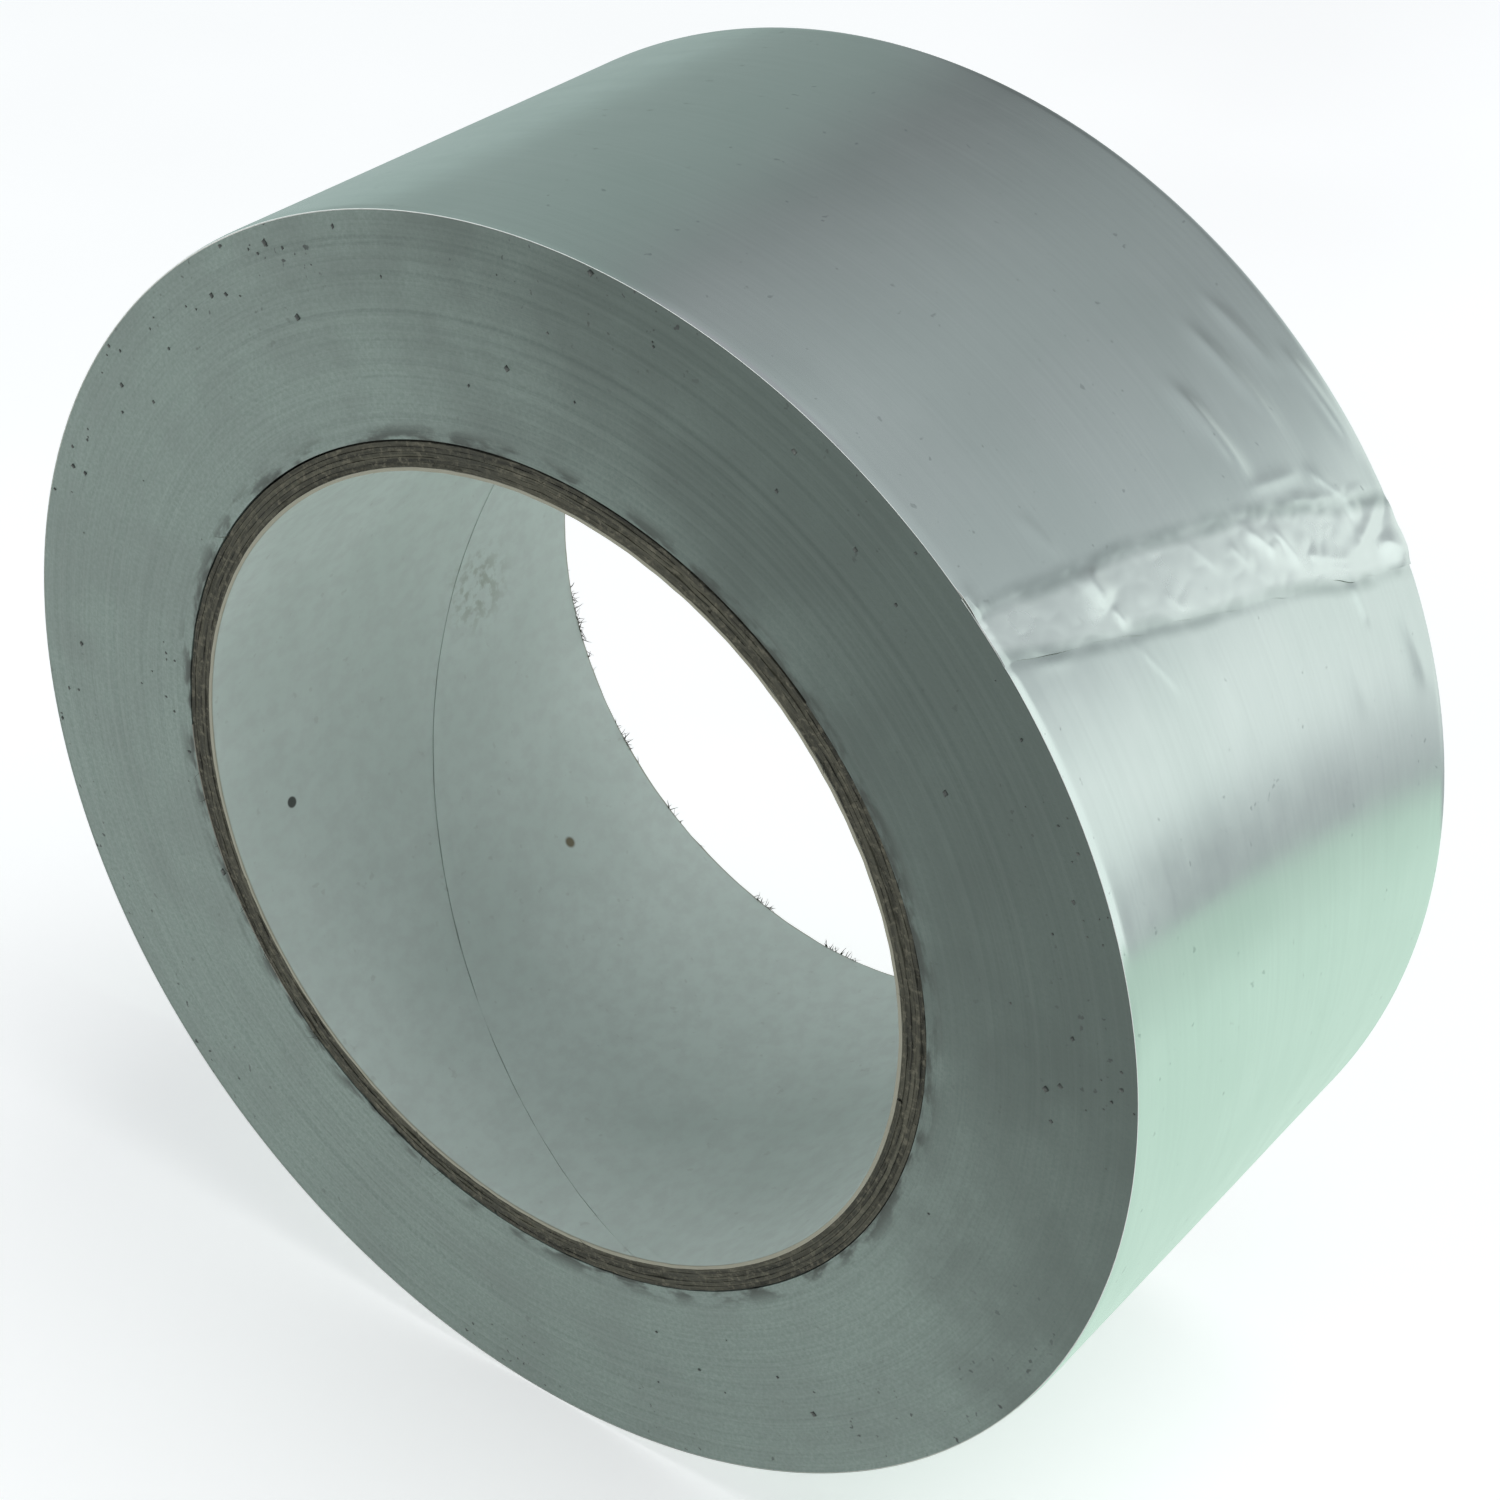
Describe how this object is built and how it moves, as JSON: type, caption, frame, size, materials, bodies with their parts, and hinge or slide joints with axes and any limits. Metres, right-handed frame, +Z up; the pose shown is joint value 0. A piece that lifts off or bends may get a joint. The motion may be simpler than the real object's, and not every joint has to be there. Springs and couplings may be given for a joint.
{
  "type": "duct tape roll",
  "caption": "Roll of aluminium foil duct tape: foil, adhesive and release paper wound on a spiral paperboard core, with a free end that peels up.",
  "frame": {"origin": "on the roll's axis, at the middle of the core's bore, midway across the tape's width", "axes": "+Y along the roll's axis from the front side face to the back one; +Z up, with the roll standing on its rim; +X to the right seen from the front"},
  "size_m": [0.1198, 0.0508, 0.1199],
  "materials": {
    "foil": "bright rolled foil, finely wrinkled",
    "adhesive": "clear acrylic adhesive film",
    "release_paper": "smooth coated paper",
    "wound_edges": "dull slit edges of foil and paper, wound tight",
    "core_board": "raw brown paperboard",
    "white_lining": "smooth white lining paper",
    "tie_tape": "double-sided tape"
  },
  "bodies": {
    "roll": {"core_white_lining": "white_lining", "core_board_ply_1": "core_board", "core_board_ply_2": "core_board", "core_board_ply_3": "core_board", "core_board_ply_4": "core_board", "core_board_ply_5": "core_board", "core_tie_strip": "tie_tape", "wound_turns": "wound_edges", "last_turn_foil": "foil", "last_turn_adhesive": "adhesive", "last_turn_release_liner": "release_paper"},
    "tape_end": {"tape_end_foil": "foil", "tape_end_adhesive": "adhesive", "tape_end_release_liner": "release_paper"}
  },
  "joints": [
    {"name": "tape_end_peel", "type": "hinge", "parent": "roll", "child": "tape_end", "pos_m": [0.04168, 0, 0.04316], "axis": [0, -1, 0], "range_deg": [0, 110]}
  ]
}
